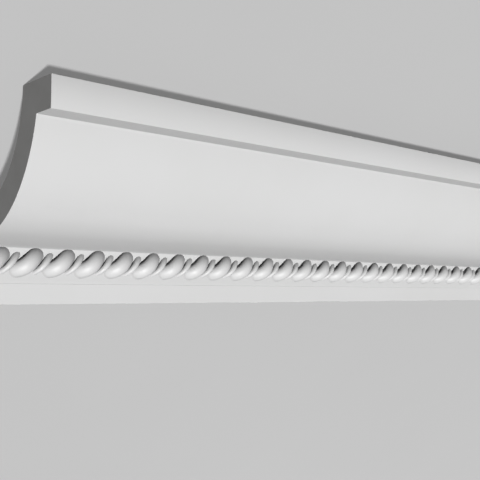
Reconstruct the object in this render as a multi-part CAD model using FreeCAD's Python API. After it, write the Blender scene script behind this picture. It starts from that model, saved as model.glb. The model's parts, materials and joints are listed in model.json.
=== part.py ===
"""Cornice moulding: a two metre length with a nosing, a swelling front and a rope ornament.

The section is drawn as the moulding is installed. Depth runs back from the fascia to
the wall, and height runs down from the ceiling, so heights below it are negative. The
finished length is then laid down on its hollow side, as it lies on a level floor.
"""
import FreeCAD, Part
import math
import os

# Length of the stock
length = 2000.0

# Nosing under the ceiling: a fascia, its soffit and the face that meets the ceiling
fascia_height = 20.0
soffit_depth = 17.2
ceiling_face_depth = 34.8
back_upright_height = 8.0

# Swelling front: three tangent arcs, each turning further from upright than the one above
swell_start_angle = 11.0
upper_swell_radius = 95.1
upper_swell_turn = 27.5
middle_swell_radius = 75.6
middle_swell_turn = 35.6
lower_swell_radius = 299.0
lower_swell_turn = 5.0
shell_thickness = 19.7

# Lower band: the sloping bed of the rope, a proud fillet and a flat down to the edge
bed_height = 21.5
bed_setback = 4.0
fillet_height = 2.8
fillet_proud = 2.5
flat_height = 14.2
band_thickness = 13.5

# Rope: a thick and a thin strand, each showing as lobes that rise out of the bed and sink back
rope_pitch = 24.8
thick_half_length = 16.0
thick_half_width = 6.3
thick_half_depth = 5.1
thick_crest = 2.9
thick_sink = 6.8
thick_lean = 38.5
thick_drop = 9.7
thick_first_offset = 13.5
thick_facets = 8
thin_half_length = 13.5
thin_half_width = 2.3
thin_half_depth = 2.7
thin_crest = 2.5
thin_sink = 7.2
thin_lean = 47.5
thin_drop = 11.3
thin_first_offset = 24.8
thin_facets = 6
lobe_stations = 6


def section_point(depth, height):
    """A point of the section, in the plane of the moulding's left end."""
    return FreeCAD.Vector(0, depth, height)


def swell_arcs():
    """Radius and turn of each arc of the front, from the top down."""
    return [
        (upper_swell_radius, upper_swell_turn),
        (middle_swell_radius, middle_swell_turn),
        (lower_swell_radius, lower_swell_turn),
    ]


def towards_centre(angle):
    """Direction from a swelling arc to its centre, where the arc leans by the angle."""
    return section_point(math.cos(angle), math.sin(angle))


def swell_edges(inset):
    """The tangent arcs of the swelling front, moved back into the moulding by the inset."""
    edges = []
    angle = math.radians(swell_start_angle)
    start = section_point(soffit_depth, -fascia_height)
    for radius, turn in swell_arcs():
        centre = start + towards_centre(angle) * radius
        angles = [angle + math.radians(turn) * share for share in (0, 0.5, 1)]
        points = [centre - towards_centre(a) * (radius - inset) for a in angles]
        edges.append(Part.Arc(*points).toShape())
        angle = angles[-1]
        start = centre - towards_centre(angle) * radius
    return edges


def section_face():
    """The cross-section without the rope, the ends of the rope's bed and the upper wall corner."""
    front = swell_edges(0)
    back = swell_edges(shell_thickness)
    swell_end = front[-1].Vertexes[-1].Point
    back_start = back[0].Vertexes[0].Point
    back_end = back[-1].Vertexes[-1].Point

    bed_foot = section_point(swell_end.y + bed_setback, swell_end.z - bed_height)
    fillet_foot_height = bed_foot.z - fillet_height
    flat_depth = bed_foot.y + fillet_proud
    edge_height = fillet_foot_height - flat_height
    wall_depth = flat_depth + band_thickness

    end_angle = math.radians(swell_start_angle + sum(turn for _, turn in swell_arcs()))
    wall_top_height = back_end.z - (wall_depth - back_end.y) / math.tan(end_angle)

    wall_corner = section_point(wall_depth, wall_top_height)

    lower = [
        swell_end,
        bed_foot,
        section_point(bed_foot.y, fillet_foot_height),
        section_point(flat_depth, fillet_foot_height),
        section_point(flat_depth, edge_height),
        section_point(wall_depth, edge_height),
        wall_corner,
        back_end,
    ]
    upper = [
        back_start,
        section_point(ceiling_face_depth, -back_upright_height),
        section_point(ceiling_face_depth, 0),
        section_point(0, 0),
        section_point(0, -fascia_height),
        section_point(soffit_depth, -fascia_height),
    ]
    edges = front + Part.makePolygon(lower).Edges + back + Part.makePolygon(upper).Edges
    wire = Part.Wire(Part.__sortEdges__(edges))
    return Part.Face(wire), swell_end, bed_foot, wall_corner


def faceted_lobe(centre, along, across, outward, crest, sink, facets):
    """A long lobe of flat facets that arches from below the bed to its crest and back.

    Along, across and outward are its half axes. Its middle line lies at the crest's height
    halfway along and lower by the sink at both tips, and every ring stands square to along.
    """
    rise = FreeCAD.Vector(outward).normalize()
    rings = []
    for station in range(lobe_stations + 1):
        place = math.pi * station / lobe_stations
        height = crest - sink * math.cos(place) ** 2
        middle = centre - along * math.cos(place) + rise * height
        turns = [2 * math.pi * (facet + 0.5) / facets for facet in range(facets)]
        girth = math.sin(place) if 0 < station < lobe_stations else 0
        rings.append([middle + (across * math.sin(t) + outward * math.cos(t)) * girth for t in turns])
    faces = []
    for near, far in zip(rings, rings[1:]):
        for facet in range(facets):
            corners = [near[facet - 1], near[facet], far[facet], far[facet - 1]]
            loop = [p for i, p in enumerate(corners) if not p.isEqual(corners[i - 1], 1e-6)]
            faces.append(Part.Face(Part.makePolygon(loop + loop[:1])))
    return Part.Solid(Part.Shell(faces))


def strand_lobes(bed_top, bed_foot, first_offset, drop, lean, half_length, half_width, half_depth,
                 crest, sink, facets):
    """The lobes of one strand: one lobe set leaning on the bed, repeated to past both ends."""
    down = (bed_foot - bed_top).normalize()
    outward = FreeCAD.Vector(-1, 0, 0).cross(down)
    slope = math.radians(lean)
    along = FreeCAD.Vector(math.cos(slope), 0, 0) - down * math.sin(slope)
    across = FreeCAD.Vector(math.sin(slope), 0, 0) + down * math.cos(slope)
    middle = bed_top + down * drop + FreeCAD.Vector(first_offset, 0, 0)
    lobe = faceted_lobe(middle, along * half_length, across * half_width, outward * half_depth,
                        crest, sink, facets)
    turns = range(-1, math.ceil(length / rope_pitch) + 1)
    return [lobe.translated(FreeCAD.Vector(turn * rope_pitch, 0, 0)) for turn in turns]


def moulded_length(face, lobes):
    """The section run out past both ends, with the lobes fused on, then cut square."""
    overrun = 2 * rope_pitch
    face.translate(FreeCAD.Vector(-overrun, 0, 0))
    body = face.extrude(FreeCAD.Vector(length + 2 * overrun, 0, 0)).fuse(lobes)
    box = body.BoundBox
    stock = Part.makeBox(length, box.YLength, box.ZLength, FreeCAD.Vector(0, box.YMin, box.ZMin))
    return body.common(stock)


def lay_down(shape, wall_corner):
    """Turn the moulding onto its hollow side, its front up and forward, origin below its middle.

    It then lies on two edges: the back edge of the ceiling face and the top edge of the wall face.
    """
    origin = FreeCAD.Vector()
    rest = wall_corner - section_point(ceiling_face_depth, 0)
    shape.rotate(origin, FreeCAD.Vector(1, 0, 0), -180 - math.degrees(math.atan2(rest.z, rest.y)))
    shape.rotate(origin, FreeCAD.Vector(0, 0, 1), 180)
    box = shape.BoundBox
    shape.translate(FreeCAD.Vector(-box.Center.x, -box.Center.y, -box.ZMin))


os.makedirs("parts", exist_ok=True)
section, bed_top, bed_foot, wall_corner = section_face()
rope = strand_lobes(bed_top, bed_foot, thick_first_offset, thick_drop, thick_lean, thick_half_length,
                    thick_half_width, thick_half_depth, thick_crest, thick_sink, thick_facets)
rope += strand_lobes(bed_top, bed_foot, thin_first_offset, thin_drop, thin_lean, thin_half_length,
                     thin_half_width, thin_half_depth, thin_crest, thin_sink, thin_facets)
cornice = moulded_length(section, rope)
lay_down(cornice, wall_corner)
cornice.exportStep("parts/cornice.step")
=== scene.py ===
import json
import math

import bmesh
import bpy
from mathutils import Matrix, Vector


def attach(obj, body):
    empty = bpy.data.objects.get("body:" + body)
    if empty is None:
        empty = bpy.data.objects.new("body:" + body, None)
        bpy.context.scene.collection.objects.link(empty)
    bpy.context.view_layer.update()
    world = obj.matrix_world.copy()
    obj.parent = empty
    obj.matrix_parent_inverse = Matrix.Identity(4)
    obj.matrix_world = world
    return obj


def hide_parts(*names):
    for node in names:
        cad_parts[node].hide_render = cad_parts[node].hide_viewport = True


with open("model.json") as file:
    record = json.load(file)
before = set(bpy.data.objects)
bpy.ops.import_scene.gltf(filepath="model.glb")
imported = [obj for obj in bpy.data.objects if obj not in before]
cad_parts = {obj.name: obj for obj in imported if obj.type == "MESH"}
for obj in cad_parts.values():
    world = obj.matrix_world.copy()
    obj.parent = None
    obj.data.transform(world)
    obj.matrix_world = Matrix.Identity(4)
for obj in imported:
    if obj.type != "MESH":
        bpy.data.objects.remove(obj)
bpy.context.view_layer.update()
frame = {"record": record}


# How the length lies: it is stored on its hollow side, so the wall face and the ceiling face of
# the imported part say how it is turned. Each piece is modelled as the moulding is fitted, with the
# left end at x 0, depth running back to the wall and height up to the ceiling, and then laid down.
length = 2.0
ceiling_face_depth = 0.0348
mounts = {mount["name"]: mount for mount in frame["record"]["mounts"]}
along_length = -Vector(mounts["left_end"]["axis"])
to_wall = Vector(mounts["wall_face"]["axis"])
to_ceiling = Vector(mounts["ceiling_face"]["axis"])
turned = Matrix((along_length, to_wall, to_ceiling)).transposed()
ceiling_face_middle = Vector((length / 2, ceiling_face_depth / 2, 0.0))
lying_origin = Vector(mounts["ceiling_face"]["pos_m"]) - turned @ ceiling_face_middle
lay = Matrix.Translation(lying_origin) @ turned.to_4x4()


# Camera: it looks along the moulding from beyond the left end, a little below the nosing. It
# keeps that stance to the moulding as it lies, so it hangs over it, upside down.
camera_turn = math.radians(42.03)
camera_rise = math.radians(4.0)
camera_place = (-0.20729, -0.38834, -0.12405)
camera_sensor = 36.0
camera_lens = 57.96
camera_nearest = 0.01
camera_forward = Vector((
    math.sin(camera_turn) * math.cos(camera_rise),
    math.cos(camera_turn) * math.cos(camera_rise),
    math.sin(camera_rise),
))
camera_right = Vector((math.cos(camera_turn), -math.sin(camera_turn), 0.0))
camera_up = camera_right.cross(camera_forward)
camera_stance = Matrix((camera_right, camera_up, -camera_forward)).transposed().to_4x4()
camera_stance.translation = camera_place
camera_data = bpy.data.cameras.new("camera")
camera_data.sensor_width = camera_sensor
camera_data.lens = camera_lens
camera_data.clip_start = camera_nearest
camera = bpy.data.objects.new("camera", camera_data)
bpy.context.scene.collection.objects.link(camera)
camera.matrix_world = lay @ camera_stance
bpy.context.scene.camera = camera


# Moulded body: one run of rigid foam, cast in a long mould and sawn square at both ends, with a
# satin white primer in front and bare foam behind. Its section is a nosing, a swelling front over
# a hollow back, the rope's bed, a thin fillet under it and a flat down to the edge on the wall.
fascia_height = 0.020
soffit_depth = 0.0172
back_upright_height = 0.008
swell_start_lean = math.radians(11.0)
swell_arcs = [
    (0.0951, math.radians(27.5)),
    (0.0756, math.radians(35.6)),
    (0.2990, math.radians(5.0)),
]
swell_arc_step = math.radians(1.4)
shell_thickness = 0.0197
bed_height = 0.0215
bed_setback = 0.0040
fillet_height = 0.0028
fillet_proud = 0.0025
flat_height = 0.0142
band_thickness = 0.0135
arris_ease = 0.0004
arris_rounds = 2
arris_roundness = 0.5
arris_sharpness = math.radians(20.0)
start_square = 0.01
joint_gap = 0.00001
body_smoothing = math.radians(32.0)
foam_white = (0.80, 0.80, 0.80, 1.0)
foam_thin_coat = (0.775, 0.775, 0.77, 1.0)
# Sawn end tones: a dark grey that is painted shade, standing for the end faces lying in shade; the
# cut foam itself is paler.
sawn_end_painted_shade = (0.39, 0.388, 0.383, 1.0)
sawn_end_painted_shade_dull = (0.36, 0.357, 0.351, 1.0)
bare_cream = (0.76, 0.75, 0.72, 1.0)
bare_dull = (0.71, 0.70, 0.66, 1.0)
back_facing = 0.6
# Faces this square to the length are the sawn ends, which get the painted-shade grey.
painted_shade_end_facing = 0.99
patch_detail = 4.0
patch_raggedness = 0.55
grain_detail = 2.0
grain_raggedness = 0.5
coat_thins_from = 0.35
coat_thins_to = 0.70
grain_low = 0.30
grain_high = 0.70


def begin_section(name, start):
    """A new piece that starts as one point of the section, in edit mode."""
    bpy.ops.object.select_all(action="DESELECT")
    bpy.ops.mesh.primitive_plane_add(size=start_square, enter_editmode=True)
    piece = bpy.context.object
    piece.name = name
    piece.data.name = name
    bpy.ops.mesh.merge(type="CENTER")
    bpy.ops.transform.translate(value=start)
    return piece


def draw_line(start, end):
    """Carry the section from its last point straight on to the next."""
    bpy.ops.mesh.extrude_region_move(TRANSFORM_OT_translate={"value": end - start})
    return end


def draw_arc(start, centre, turn):
    """Carry the section round a centre and say where it comes to. Spin counts turns backwards."""
    steps = round(abs(turn) / swell_arc_step)
    bpy.ops.mesh.spin(steps=steps, angle=-turn, center=centre, axis=(1.0, 0.0, 0.0))
    return centre + Matrix.Rotation(turn, 3, "X") @ (start - centre)


def towards_centre(angle):
    """Direction from the swelling front to its centre, where the front leans by the angle."""
    return Vector((0.0, math.cos(angle), math.sin(angle)))


def keep_long_edges(piece):
    """Leave only edges that run along the length selected, so that the sawn ends stay crisp."""
    mesh = bmesh.from_edit_mesh(piece.data)
    for edge in mesh.edges:
        near, far = edge.verts
        if abs(far.co.x - near.co.x) < length / 2:
            edge.select_set(False)
    bmesh.update_edit_mesh(piece.data)


def lay_down(piece):
    """Put a finished piece where the length lies, with its place in its mesh."""
    bpy.ops.object.mode_set(mode="OBJECT")
    piece.matrix_world = lay
    bpy.ops.object.transform_apply(location=True, rotation=True, scale=True)


nosing_foot = Vector((0.0, soffit_depth, -fascia_height))
swell_path = []
swell_lean = swell_start_lean
bed_top = nosing_foot
for radius, turn in swell_arcs:
    arc_centre = bed_top + towards_centre(swell_lean) * radius
    swell_lean += turn
    bed_top = arc_centre - towards_centre(swell_lean) * radius
    swell_path.append((arc_centre, turn))
bed_foot = bed_top + Vector((0.0, bed_setback, -bed_height))
fillet_foot_height = bed_foot.z - fillet_height
flat_depth = bed_foot.y + fillet_proud
edge_height = fillet_foot_height - flat_height
wall_depth = flat_depth + band_thickness
back_low = bed_top + towards_centre(swell_lean) * shell_thickness
wall_top_height = back_low.z - (wall_depth - back_low.y) / math.tan(swell_lean)

body = begin_section("moulded_body", nosing_foot)
drawn_to = nosing_foot
for arc_centre, turn in swell_path:
    drawn_to = draw_arc(drawn_to, arc_centre, turn)
for corner in [
    bed_foot,
    Vector((0.0, bed_foot.y, fillet_foot_height)),
    Vector((0.0, flat_depth, fillet_foot_height)),
    Vector((0.0, flat_depth, edge_height)),
    Vector((0.0, wall_depth, edge_height)),
    Vector((0.0, wall_depth, wall_top_height)),
    back_low,
]:
    drawn_to = draw_line(drawn_to, corner)
for arc_centre, turn in reversed(swell_path):
    drawn_to = draw_arc(drawn_to, arc_centre, -turn)
for corner in [
    Vector((0.0, ceiling_face_depth, -back_upright_height)),
    Vector((0.0, ceiling_face_depth, 0.0)),
    Vector((0.0, 0.0, 0.0)),
    Vector((0.0, 0.0, -fascia_height)),
    nosing_foot,
]:
    drawn_to = draw_line(drawn_to, corner)
bpy.ops.mesh.select_all(action="SELECT")
bpy.ops.mesh.remove_doubles(threshold=joint_gap)
bpy.ops.mesh.edge_face_add()
bpy.ops.mesh.extrude_region_move(TRANSFORM_OT_translate={"value": (length, 0.0, 0.0)})
bpy.ops.mesh.select_all(action="SELECT")
bpy.ops.mesh.normals_make_consistent(inside=False)
bpy.ops.mesh.select_mode(type="EDGE")
bpy.ops.mesh.select_all(action="DESELECT")
bpy.ops.mesh.edges_select_sharp(sharpness=arris_sharpness)
keep_long_edges(body)
bpy.ops.mesh.bevel(offset=arris_ease, segments=arris_rounds, profile=arris_roundness)


def build_foam_surface():
    """The uneven coat and fine grain of a foam surface: its colour, roughness and height."""
    surface = bpy.data.node_groups.new("foam_surface", "ShaderNodeTree")
    for name, way, kind in [
        ("Tone", "INPUT", "NodeSocketColor"),
        ("Thin Tone", "INPUT", "NodeSocketColor"),
        ("Patch Scale", "INPUT", "NodeSocketFloat"),
        ("Grain Scale", "INPUT", "NodeSocketFloat"),
        ("Smoothest", "INPUT", "NodeSocketFloat"),
        ("Roughest", "INPUT", "NodeSocketFloat"),
        ("Color", "OUTPUT", "NodeSocketColor"),
        ("Roughness", "OUTPUT", "NodeSocketFloat"),
        ("Height", "OUTPUT", "NodeSocketFloat"),
    ]:
        surface.interface.new_socket(name=name, in_out=way, socket_type=kind)
    nodes = surface.nodes
    links = surface.links
    given = nodes.new("NodeGroupInput")
    result = nodes.new("NodeGroupOutput")
    coordinates = nodes.new("ShaderNodeTexCoord")
    patches = nodes.new("ShaderNodeTexNoise")
    patches.inputs["Detail"].default_value = patch_detail
    patches.inputs["Roughness"].default_value = patch_raggedness
    grain = nodes.new("ShaderNodeTexNoise")
    grain.inputs["Detail"].default_value = grain_detail
    grain.inputs["Roughness"].default_value = grain_raggedness
    coat = nodes.new("ShaderNodeMapRange")
    coat.inputs["From Min"].default_value = coat_thins_from
    coat.inputs["From Max"].default_value = coat_thins_to
    mix = nodes.new("ShaderNodeMix")
    mix.data_type = "RGBA"
    sheen = nodes.new("ShaderNodeMapRange")
    sheen.inputs["From Min"].default_value = grain_low
    sheen.inputs["From Max"].default_value = grain_high
    links.new(coordinates.outputs["Object"], patches.inputs["Vector"])
    links.new(coordinates.outputs["Object"], grain.inputs["Vector"])
    links.new(given.outputs["Patch Scale"], patches.inputs["Scale"])
    links.new(given.outputs["Grain Scale"], grain.inputs["Scale"])
    links.new(patches.outputs["Fac"], coat.inputs["Value"])
    links.new(coat.outputs["Result"], mix.inputs["Factor"])
    links.new(given.outputs["Tone"], mix.inputs["A"])
    links.new(given.outputs["Thin Tone"], mix.inputs["B"])
    links.new(grain.outputs["Fac"], sheen.inputs["Value"])
    links.new(given.outputs["Smoothest"], sheen.inputs["To Min"])
    links.new(given.outputs["Roughest"], sheen.inputs["To Max"])
    links.new(mix.outputs["Result"], result.inputs["Color"])
    links.new(sheen.outputs["Result"], result.inputs["Roughness"])
    links.new(grain.outputs["Fac"], result.inputs["Height"])
    return surface


def start_finish(name, values, gloss, bump_strength, bump_depth):
    """A material whose colour, roughness and bump come from the foam surface group."""
    material = bpy.data.materials.new(name)
    material.use_nodes = True
    nodes = material.node_tree.nodes
    links = material.node_tree.links
    shader = nodes["Principled BSDF"]
    shader.inputs["Specular IOR Level"].default_value = gloss
    surface = nodes.new("ShaderNodeGroup")
    surface.node_tree = foam_surface
    for socket, value in values.items():
        surface.inputs[socket].default_value = value
    bump = nodes.new("ShaderNodeBump")
    bump.inputs["Strength"].default_value = bump_strength
    bump.inputs["Distance"].default_value = bump_depth
    links.new(surface.outputs["Color"], shader.inputs["Base Color"])
    links.new(surface.outputs["Roughness"], shader.inputs["Roughness"])
    links.new(surface.outputs["Height"], bump.inputs["Height"])
    links.new(bump.outputs["Normal"], shader.inputs["Normal"])
    return material


foam_surface = build_foam_surface()
primed_foam = start_finish(
    "primed_foam",
    {"Tone": foam_white, "Thin Tone": foam_thin_coat, "Patch Scale": 7.0, "Grain Scale": 1100.0,
     "Smoothest": 0.46, "Roughest": 0.54},
    gloss=0.8,
    bump_strength=0.25,
    bump_depth=0.00006,
)
# Sawn ends: a cut-foam grain, roughness and bump, in a dark grey tone that is painted shade.
sawn_foam_painted_shade = start_finish(
    "sawn_foam_painted_shade",
    {"Tone": sawn_end_painted_shade, "Thin Tone": sawn_end_painted_shade_dull, "Patch Scale": 60.0, "Grain Scale": 1600.0,
     "Smoothest": 0.7, "Roughest": 0.85},
    gloss=0.3,
    bump_strength=0.3,
    bump_depth=0.0001,
)
bare_foam = start_finish(
    "bare_foam",
    {"Tone": bare_cream, "Thin Tone": bare_dull, "Patch Scale": 25.0, "Grain Scale": 700.0,
     "Smoothest": 0.6, "Roughest": 0.8},
    gloss=0.4,
    bump_strength=0.3,
    bump_depth=0.0002,
)


def prime_all_but_ends(piece):
    """Prime a piece, and give the flat faces of its two sawn ends cut foam in a dark grey that is
    painted shade.
    """
    piece.data.materials.append(primed_foam)
    piece.data.materials.append(sawn_foam_painted_shade)
    for face in piece.data.polygons:
        # The end faces take the sawn finish, whose dark grey is painted shade.
        if abs(face.normal.x) > painted_shade_end_facing:
            face.material_index = 1


def leave_back_bare(piece):
    """Leave the faces that turn to the wall or the ceiling as bare foam, for the glue."""
    piece.data.materials.append(bare_foam)
    for face in piece.data.polygons:
        if max(face.normal.dot(to_wall), face.normal.dot(to_ceiling)) > back_facing:
            face.material_index = 2


lay_down(body)
prime_all_but_ends(body)
leave_back_bare(body)
bpy.ops.object.shade_smooth_by_angle(angle=body_smoothing)
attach(body, "root")
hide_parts("cornice")


# Rope: a thick and a thin strand twisted together, cast in one with the body. Each strand shows
# as a row of smooth lobes that rise out of the sloping bed, lean along it and sink back into it.
rope_pitch = 0.0248
rope_seat = 0.001
cut_precision = 0.000001
ring_precision = 0.001
bed_tilt = math.atan2(bed_setback, bed_height)
bed_outward = Vector((0.0, -math.cos(bed_tilt), -math.sin(bed_tilt)))
bed_down = Vector((0.0, math.sin(bed_tilt), -math.cos(bed_tilt)))
lobe_tip = 0.16
lobes_before_end = 2
lobes_to_spare = 4
rope_smoothing = math.radians(50.0)


def select_ring(piece, along):
    """Select the ring of points at one place along a lobe that still lies along x."""
    mesh = bmesh.from_edit_mesh(piece.data)
    for point in mesh.verts:
        point.select = abs(point.co.x - along) < ring_precision
    mesh.select_flush_mode()
    bmesh.update_edit_mesh(piece.data)


def bend_lobe(piece, rings, half_line, crest, sink, lift, sway, radius, swelling, across):
    """Draw a ball of rings out into a bent lobe, ring by ring, along the line of its strand."""
    for ring in range(rings + 1):
        ball_place = math.cos(math.pi * ring / rings)
        select_ring(piece, ball_place)
        reach = abs(ball_place) * (1.0 + lobe_tip)
        share = math.copysign(min(reach, 1.0), ball_place)
        tip_share = max(0.0, reach - 1.0) / lobe_tip
        here = radius * (1.0 + swelling * share)
        rise = crest - sink * share * share + lift * share
        side = sway * (share - share ** 3)
        heading = Vector((half_line, sway * (1.0 - 3.0 * share * share), lift - 2.0 * sink * share))
        heading.normalize()
        past_line = math.copysign(tip_share * here, ball_place)
        spot = Vector((half_line * share, side, rise)) + heading * past_line
        ring_centre = Vector((ball_place, 0.0, 0.0))
        ball_girth = math.sqrt(1.0 - ball_place * ball_place)
        if ball_girth > ring_precision:
            size = here * math.sqrt(max(0.0, 1.0 - tip_share * tip_share)) / ball_girth
            climb = math.atan2(heading.z, math.hypot(heading.x, heading.y))
            veer = math.atan2(heading.y, heading.x)
            bpy.ops.transform.resize(value=(1.0, size, size), center_override=ring_centre)
            bpy.ops.transform.rotate(value=climb, orient_axis="Y", center_override=ring_centre)
            bpy.ops.transform.rotate(value=-veer, orient_axis="Z", center_override=ring_centre)
            bpy.ops.transform.resize(value=(1.0, across, 1.0), center_override=ring_centre)
        bpy.ops.transform.translate(value=spot - ring_centre)


def lay_strand(name, first, drop, lean, around, rings, **line):
    """One lobe, set leaning in the bed, repeated along the rope and sawn off at both ends."""
    bpy.ops.object.select_all(action="DESELECT")
    bpy.ops.mesh.primitive_uv_sphere_add(segments=around, ring_count=rings, radius=1.0)
    strand = bpy.context.object
    strand.name = name
    strand.data.name = name
    strand.rotation_euler = (0.0, math.radians(90.0), 0.0)
    bpy.ops.object.transform_apply(location=True, rotation=True, scale=True)
    bpy.ops.object.mode_set(mode="EDIT")
    bend_lobe(strand, rings, **line)
    bpy.ops.object.mode_set(mode="OBJECT")
    lobe_along = Vector((math.cos(lean), 0.0, 0.0)) - bed_down * math.sin(lean)
    lobe_across = Vector((-math.sin(lean), 0.0, 0.0)) - bed_down * math.cos(lean)
    stance = Matrix((lobe_along, lobe_across, bed_outward)).transposed().to_4x4()
    row_start = first - lobes_before_end * rope_pitch
    stance.translation = bed_top + bed_down * drop + Vector((row_start, 0.0, 0.0))
    strand.matrix_world = stance
    bpy.ops.object.transform_apply(location=True, rotation=True, scale=True)
    bpy.ops.object.mode_set(mode="EDIT")
    bpy.ops.mesh.select_all(action="SELECT")
    bpy.ops.mesh.bisect(
        plane_co=bed_top - bed_outward * rope_seat, plane_no=bed_outward,
        use_fill=True, clear_inner=True, threshold=cut_precision,
    )
    bpy.ops.object.mode_set(mode="OBJECT")
    row = strand.modifiers.new("row", "ARRAY")
    row.count = math.ceil(length / rope_pitch) + lobes_to_spare
    row.use_relative_offset = False
    row.use_constant_offset = True
    row.constant_offset_displace = (rope_pitch, 0.0, 0.0)
    bpy.ops.object.modifier_apply(modifier=row.name)
    bpy.ops.object.mode_set(mode="EDIT")
    for end, outwards in ((0.0, -1.0), (length, 1.0)):
        bpy.ops.mesh.select_all(action="SELECT")
        bpy.ops.mesh.bisect(
            plane_co=(end, 0.0, 0.0), plane_no=(outwards, 0.0, 0.0),
            use_fill=True, clear_outer=True, threshold=cut_precision,
        )
    bpy.ops.mesh.select_all(action="SELECT")
    bpy.ops.mesh.normals_make_consistent(inside=False)
    lay_down(strand)
    prime_all_but_ends(strand)
    bpy.ops.object.shade_smooth_by_angle(angle=rope_smoothing)
    return strand


thick_strand = lay_strand(
    "thick_strand", first=0.01352, drop=0.00980, lean=math.radians(34.3), around=28, rings=22,
    half_line=0.01000, crest=0.0032, sink=0.0061, lift=-0.0010, sway=0.0014,
    radius=0.00490, swelling=0.02, across=1.20,
)
thin_strand = lay_strand(
    "thin_strand", first=0.02480, drop=0.01130, lean=math.radians(47.5), around=18, rings=20,
    half_line=0.00950, crest=0.0025, sink=0.0056, lift=0.0004, sway=0.0008,
    radius=0.00242, swelling=0.18, across=0.95,
)
for strand in (thick_strand, thin_strand):
    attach(strand, "root")
    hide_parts("cornice")


# Floor: a wide studio floor of smooth pale board that the length lies on. The camera sees it a
# little paler than it is lit, so that the object's shadow on it stays soft.
floor_size = 14.0
floor_pale = (0.42, 0.42, 0.42, 1.0)
floor_worn = (0.412, 0.412, 0.412, 1.0)
floor_lift = 0.18
white = (1.0, 1.0, 1.0, 1.0)


def seen_as_backdrop(nodes, links):
    """A socket that is 1 for what the camera sees, also in gloss or through glass, and else 0."""
    path = nodes.new("ShaderNodeLightPath")
    seen = path.outputs["Is Camera Ray"]
    for ray in ("Is Glossy Ray", "Is Transmission Ray"):
        either = nodes.new("ShaderNodeMath")
        either.operation = "MAXIMUM"
        links.new(seen, either.inputs[0])
        links.new(path.outputs[ray], either.inputs[1])
        seen = either.outputs["Value"]
    return seen


bpy.ops.object.select_all(action="DESELECT")
bpy.ops.mesh.primitive_plane_add(size=floor_size)
floor = bpy.context.object
floor.name = "floor"
floor.data.name = "floor"
floor_board = start_finish(
    "floor_board",
    {"Tone": floor_pale, "Thin Tone": floor_worn, "Patch Scale": 3.0, "Grain Scale": 500.0,
     "Smoothest": 0.75, "Roughest": 0.85},
    gloss=0.5,
    bump_strength=0.05,
    bump_depth=0.0001,
)
floor_nodes = floor_board.node_tree.nodes
floor_links = floor_board.node_tree.links
floor_shader = floor_nodes["Principled BSDF"]
paler = floor_nodes.new("ShaderNodeMath")
paler.operation = "MULTIPLY"
paler.inputs[1].default_value = floor_lift
floor_links.new(seen_as_backdrop(floor_nodes, floor_links), paler.inputs[0])
floor_links.new(paler.outputs["Value"], floor_shader.inputs["Emission Strength"])
floor_shader.inputs["Emission Color"].default_value = white
floor.data.materials.append(floor_board)


# Studio light: a broad, distant main lamp in front of the moulding as it is fitted, low and to
# the left, whose light is used once and not thrown about; a weak low lamp for the hidden side;
# and a faint even glow from all round, which the camera sees as a pale backdrop.
key_towards = Vector((-0.357, -0.825, -0.438))
key_strength = 2.9
key_spread = math.radians(5.0)
fill_towards = Vector((0.633, 0.550, -0.545))
fill_strength = 0.4
fill_spread = math.radians(3.0)
glow_strength = 0.04
backdrop_tone = 0.56
lamp_distance = 3.0


def hang_lamp(name, towards, strength, spread):
    """A lamp so far off that its light comes evenly from one side."""
    lamp_data = bpy.data.lights.new(name, "SUN")
    lamp_data.energy = strength
    lamp_data.angle = spread
    lamp_data.cycles.max_bounces = 0
    lamp = bpy.data.objects.new(name, lamp_data)
    bpy.context.scene.collection.objects.link(lamp)
    direction = turned @ towards
    lamp.location = direction * lamp_distance
    lamp.rotation_euler = direction.to_track_quat("Z", "Y").to_euler()


hang_lamp("key", key_towards, key_strength, key_spread)
hang_lamp("fill", fill_towards, fill_strength, fill_spread)
studio = bpy.data.worlds.new("studio")
studio.use_nodes = True
studio_nodes = studio.node_tree.nodes
studio_links = studio.node_tree.links
backdrop = studio_nodes.new("ShaderNodeMix")
backdrop.inputs["A"].default_value = glow_strength
backdrop.inputs["B"].default_value = backdrop_tone
studio_links.new(seen_as_backdrop(studio_nodes, studio_links), backdrop.inputs["Factor"])
studio_links.new(backdrop.outputs["Result"], studio_nodes["Background"].inputs["Strength"])
studio_nodes["Background"].inputs["Color"].default_value = white
bpy.context.scene.world = studio
bpy.context.scene.view_settings.view_transform = "Standard"
